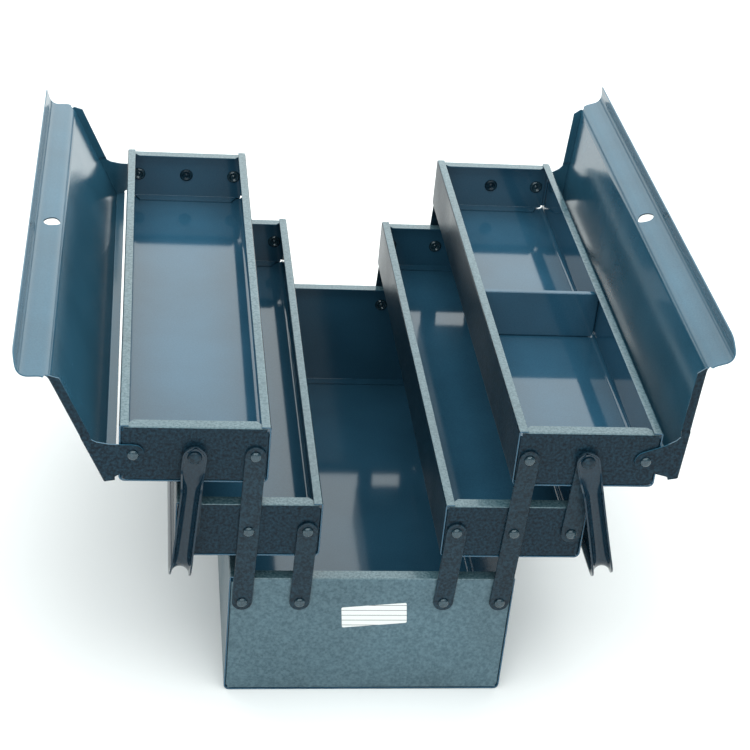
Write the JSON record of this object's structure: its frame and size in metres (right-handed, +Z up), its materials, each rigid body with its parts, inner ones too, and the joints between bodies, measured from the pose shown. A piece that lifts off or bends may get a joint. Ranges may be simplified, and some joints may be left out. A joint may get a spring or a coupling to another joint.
{
  "type": "cantilever toolbox with trays",
  "caption": "Open cantilever toolbox of folded sheet steel: a base box with stacked trays on riveted straps at each side, split hinged lids and swinging carrying handles.",
  "frame": {"origin": "middle of the base box's underside", "axes": "+X across the box, +Y from the front end to the rear end, +Z up"},
  "size_m": [0.4671, 0.4448, 0.2977],
  "materials": {
    "base_enamel": "dark blue-green hammered enamel, semi-gloss",
    "tray_enamel": "blue-green enamel, glossy inside and hammered outside",
    "lid_enamel": "blue-green enamel, glossy",
    "handle_enamel": "blue-green enamel, glossy",
    "strap_enamel": "blue-green hammered enamel",
    "rivet_enamel": "blue-green enamel over steel rivets"
  },
  "bodies": {
    "base": {"base_shell": "base_enamel", "base_front_panel": "base_enamel", "base_rear_panel": "base_enamel", "left_base_outer_rivet_front": "rivet_enamel", "left_base_inner_rivet_front": "rivet_enamel", "left_base_outer_rivet_rear": "rivet_enamel", "left_base_inner_rivet_rear": "rivet_enamel", "right_base_outer_rivet_front": "rivet_enamel", "right_base_inner_rivet_front": "rivet_enamel", "right_base_outer_rivet_rear": "rivet_enamel", "right_base_inner_rivet_rear": "rivet_enamel"},
    "left_long_straps": {"left_long_strap_front": "strap_enamel", "left_long_strap_rear": "strap_enamel"},
    "left_inner_straps": {"left_inner_strap_front": "strap_enamel", "left_inner_strap_rear": "strap_enamel"},
    "left_middle_tray": {"left_middle_tray_shell": "tray_enamel", "left_middle_tray_front_panel": "tray_enamel", "left_middle_tray_rear_panel": "tray_enamel", "left_middle_outer_rivet_front": "rivet_enamel", "left_middle_centre_rivet_front": "rivet_enamel", "left_middle_inner_rivet_front": "rivet_enamel", "left_middle_outer_rivet_rear": "rivet_enamel", "left_middle_centre_rivet_rear": "rivet_enamel", "left_middle_inner_rivet_rear": "rivet_enamel"},
    "left_upper_tray": {"left_upper_tray_shell": "tray_enamel", "left_upper_tray_front_panel": "tray_enamel", "left_upper_tray_rear_panel": "tray_enamel", "left_upper_inner_rivet_front": "rivet_enamel", "left_lid_rivet_front": "rivet_enamel", "left_upper_inner_rivet_rear": "rivet_enamel", "left_lid_rivet_rear": "rivet_enamel"},
    "left_outer_straps": {"left_outer_strap_front": "strap_enamel", "left_outer_strap_rear": "strap_enamel"},
    "left_lid": {"left_lid": "lid_enamel"},
    "left_handle": {"left_handle": "handle_enamel"},
    "right_long_straps": {"right_long_strap_front": "strap_enamel", "right_long_strap_rear": "strap_enamel"},
    "right_inner_straps": {"right_inner_strap_front": "strap_enamel", "right_inner_strap_rear": "strap_enamel"},
    "right_middle_tray": {"right_middle_tray_shell": "tray_enamel", "right_middle_tray_front_panel": "tray_enamel", "right_middle_tray_rear_panel": "tray_enamel", "right_middle_outer_rivet_front": "rivet_enamel", "right_middle_centre_rivet_front": "rivet_enamel", "right_middle_inner_rivet_front": "rivet_enamel", "right_middle_outer_rivet_rear": "rivet_enamel", "right_middle_centre_rivet_rear": "rivet_enamel", "right_middle_inner_rivet_rear": "rivet_enamel"},
    "right_upper_tray": {"right_upper_tray_shell": "tray_enamel", "right_upper_tray_front_panel": "tray_enamel", "right_upper_tray_rear_panel": "tray_enamel", "right_upper_tray_divider": "tray_enamel", "right_upper_inner_rivet_front": "rivet_enamel", "right_lid_rivet_front": "rivet_enamel", "right_upper_inner_rivet_rear": "rivet_enamel", "right_lid_rivet_rear": "rivet_enamel"},
    "right_outer_straps": {"right_outer_strap_front": "strap_enamel", "right_outer_strap_rear": "strap_enamel"},
    "right_lid": {"right_lid": "lid_enamel"},
    "right_handle": {"right_handle": "handle_enamel"}
  },
  "joints": [
    {"name": "left_fold", "type": "hinge", "parent": "base", "child": "left_long_straps", "pos_m": [-0.09065, 0, 0.0815], "axis": [0, 1, 0], "range_deg": [-6.1, 39.38]},
    {"name": "left_inner_strap_turn", "type": "hinge", "parent": "base", "child": "left_inner_straps", "pos_m": [-0.05065, 0, 0.0815], "axis": [0, 1, 0], "range_deg": [-6.1, 39.38]},
    {"name": "left_middle_tray_level", "type": "hinge", "parent": "left_long_straps", "child": "left_middle_tray", "pos_m": [-0.08895, 0, 0.14248], "axis": [0, 1, 0], "range_deg": [-39.38, 6.1]},
    {"name": "left_upper_tray_level", "type": "hinge", "parent": "left_long_straps", "child": "left_upper_tray", "pos_m": [-0.08724, 0, 0.20345], "axis": [0, 1, 0], "range_deg": [-39.38, 6.1]},
    {"name": "left_outer_strap_turn", "type": "hinge", "parent": "left_upper_tray", "child": "left_outer_straps", "pos_m": [-0.12724, 0, 0.20345], "axis": [0, 1, 0], "range_deg": [-6.1, 39.38]},
    {"name": "left_lid_turn", "type": "hinge", "parent": "left_upper_tray", "child": "left_lid", "pos_m": [-0.16724, 0, 0.20345], "axis": [0, 1, 0], "range_deg": [0, 100.5]},
    {"name": "left_handle_swing", "type": "hinge", "parent": "left_outer_straps", "child": "left_handle", "pos_m": [-0.12724, 0, 0.20345], "axis": [0, 1, 0], "range_deg": [0, 161.35]},
    {"name": "right_fold", "type": "hinge", "parent": "base", "child": "right_long_straps", "pos_m": [0.09065, 0, 0.0815], "axis": [0, -1, 0], "range_deg": [-1.85, 43.63]},
    {"name": "right_inner_strap_turn", "type": "hinge", "parent": "base", "child": "right_inner_straps", "pos_m": [0.05065, 0, 0.0815], "axis": [0, -1, 0], "range_deg": [-1.85, 43.63]},
    {"name": "right_middle_tray_level", "type": "hinge", "parent": "right_long_straps", "child": "right_middle_tray", "pos_m": [0.09347, 0, 0.14244], "axis": [0, -1, 0], "range_deg": [-43.63, 1.85]},
    {"name": "right_upper_tray_level", "type": "hinge", "parent": "right_long_straps", "child": "right_upper_tray", "pos_m": [0.09629, 0, 0.20337], "axis": [0, -1, 0], "range_deg": [-43.63, 1.85]},
    {"name": "right_outer_strap_turn", "type": "hinge", "parent": "right_upper_tray", "child": "right_outer_straps", "pos_m": [0.13629, 0, 0.20337], "axis": [0, -1, 0], "range_deg": [-1.85, 43.63]},
    {"name": "right_lid_turn", "type": "hinge", "parent": "right_upper_tray", "child": "right_lid", "pos_m": [0.17629, 0, 0.20337], "axis": [0, -1, 0], "range_deg": [-8, 79.5]},
    {"name": "right_handle_swing", "type": "hinge", "parent": "right_outer_straps", "child": "right_handle", "pos_m": [0.13629, 0, 0.20337], "axis": [0, -1, 0], "range_deg": [-14.87, 147.28]}
  ],
  "couplings": [
    {"joint": "left_inner_strap_turn", "follows": "left_fold", "ratio": 1},
    {"joint": "left_middle_tray_level", "follows": "left_fold", "ratio": -1},
    {"joint": "left_upper_tray_level", "follows": "left_fold", "ratio": -1},
    {"joint": "left_outer_strap_turn", "follows": "left_fold", "ratio": 1},
    {"joint": "left_handle_swing", "follows": "left_lid_turn", "ratio": 1.605},
    {"joint": "right_inner_strap_turn", "follows": "right_fold", "ratio": 1},
    {"joint": "right_middle_tray_level", "follows": "right_fold", "ratio": -1},
    {"joint": "right_upper_tray_level", "follows": "right_fold", "ratio": -1},
    {"joint": "right_outer_strap_turn", "follows": "right_fold", "ratio": 1},
    {"joint": "right_handle_swing", "follows": "right_lid_turn", "ratio": 1.852}
  ]
}
